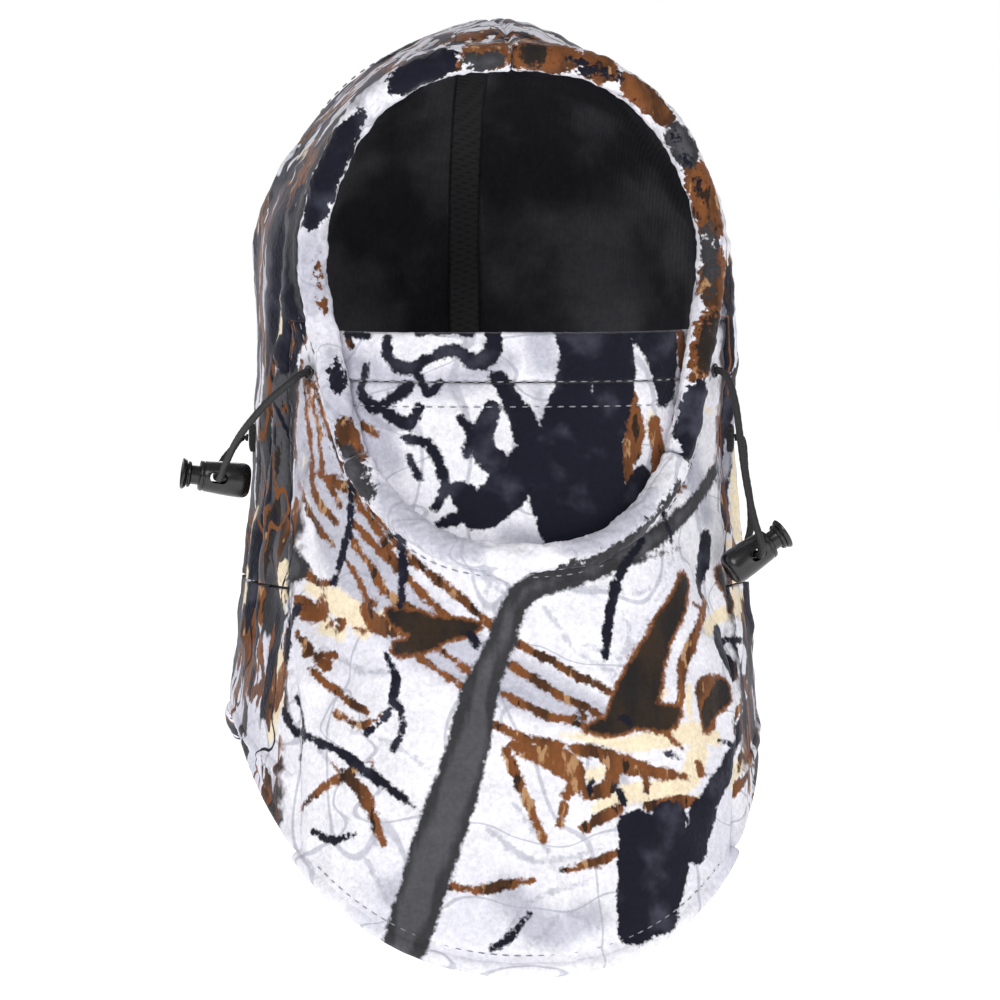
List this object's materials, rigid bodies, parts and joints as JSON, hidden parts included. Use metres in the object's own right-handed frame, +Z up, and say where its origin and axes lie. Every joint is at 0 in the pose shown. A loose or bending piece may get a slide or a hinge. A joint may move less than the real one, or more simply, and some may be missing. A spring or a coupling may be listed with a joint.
{
  "type": "face mask hood",
  "caption": "Fleece balaclava hood with a pull-down face mask, a rounded bib and neck flap, and elastic cord loops with spring cord locks.",
  "frame": {"origin": "head seat: the highest point of the lining, where the crown of the head touches", "axes": "+Z up, the face looks towards -Y, +X to the right of somebody who looks at the face"},
  "size_m": [0.2317, 0.2508, 0.362],
  "materials": {
    "shell_fleece": "brushed fleece pile, printed winter branch pattern",
    "mask_fleece": "brushed fleece pile, printed winter branch pattern",
    "seam_tape": "woven binding tape",
    "elastic_band": "knitted elastic",
    "elastic_cord": "braided cover over elastic",
    "lock_plastic": "moulded, semi-gloss",
    "spring_steel": "spring wire",
    "stitching": "buttonhole stitching",
    "webbing": "narrow woven webbing",
    "label_satin": "blank satin label"
  },
  "bodies": {
    "hood": {"hood_left_panel": "shell_fleece", "hood_right_panel": "shell_fleece", "front_bib": "shell_fleece", "neck_flap": "shell_fleece", "face_hem_right": "shell_fleece", "face_hem_left": "shell_fleece", "chin_hem": "shell_fleece", "drawcord": "elastic_cord", "bib_hem": "shell_fleece", "flap_hem": "shell_fleece", "crown_seam_tape": "seam_tape", "care_label": "label_satin", "left_cord_eyelet": "stitching", "right_cord_eyelet": "stitching", "left_cord_anchor": "webbing", "right_cord_anchor": "webbing", "left_cord_loop": "elastic_cord", "right_cord_loop": "elastic_cord"},
    "mask": {"mask_panel": "mask_fleece", "mask_top_hem": "mask_fleece", "mask_elastic": "elastic_band"},
    "left_lock": {"left_lock_barrel": "lock_plastic", "left_lock_spring": "spring_steel"},
    "left_button": {"left_lock_plunger": "lock_plastic"},
    "right_lock": {"right_lock_barrel": "lock_plastic", "right_lock_spring": "spring_steel"},
    "right_button": {"right_lock_plunger": "lock_plastic"}
  },
  "joints": [
    {"name": "mask_pull", "type": "slide", "parent": "hood", "child": "mask", "axis": [0, 0, 1], "range_m": [-0.06, 0]},
    {"name": "left_lock_slide", "type": "slide", "parent": "hood", "child": "left_lock", "axis": [0.1, 0, 0.995], "range_m": [-0.02, 0.012], "deforming": ["left_cord_loop"]},
    {"name": "left_button_press", "type": "slide", "parent": "left_lock", "child": "left_button", "axis": [0.9922, 0, -0.125], "range_m": [0, 0.0032], "stiffness_N_per_m": 900, "deforming": ["left_lock_spring"]},
    {"name": "right_lock_slide", "type": "slide", "parent": "hood", "child": "right_lock", "axis": [-0.0998, 0.1197, 0.9878], "range_m": [-0.02, 0.012], "deforming": ["right_cord_loop"]},
    {"name": "right_button_press", "type": "slide", "parent": "right_lock", "child": "right_button", "axis": [-0.8288, -0.1498, -0.5392], "range_m": [0, 0.0032], "stiffness_N_per_m": 900, "deforming": ["right_lock_spring"]}
  ]
}
